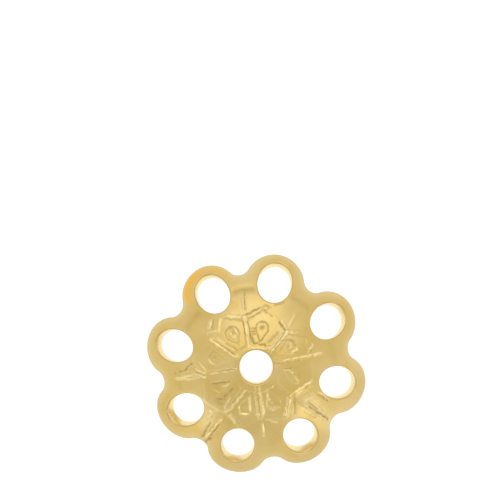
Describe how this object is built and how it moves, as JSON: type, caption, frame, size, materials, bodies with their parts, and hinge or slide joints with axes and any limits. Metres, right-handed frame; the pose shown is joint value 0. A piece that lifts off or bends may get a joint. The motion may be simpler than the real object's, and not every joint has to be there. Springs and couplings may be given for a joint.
{
  "type": "bead cap",
  "caption": "Shallow domed flower-shaped cap of thin gold-coloured sheet metal, pierced for a thread and in each petal, that sits over the end of a bead.",
  "frame": {"origin": "on the axis of the middle hole, at the height of the petal tips' lowest edges", "axes": "+Z along the middle hole, out of the dome; +X along one petal"},
  "size_m": [0.008, 0.008, 0.0016],
  "materials": {
    "gold_plated_brass": "satin pale gold plating over stamped brass"
  },
  "bodies": {
    "root": {"bead_cap": "gold_plated_brass"}
  },
  "joints": []
}
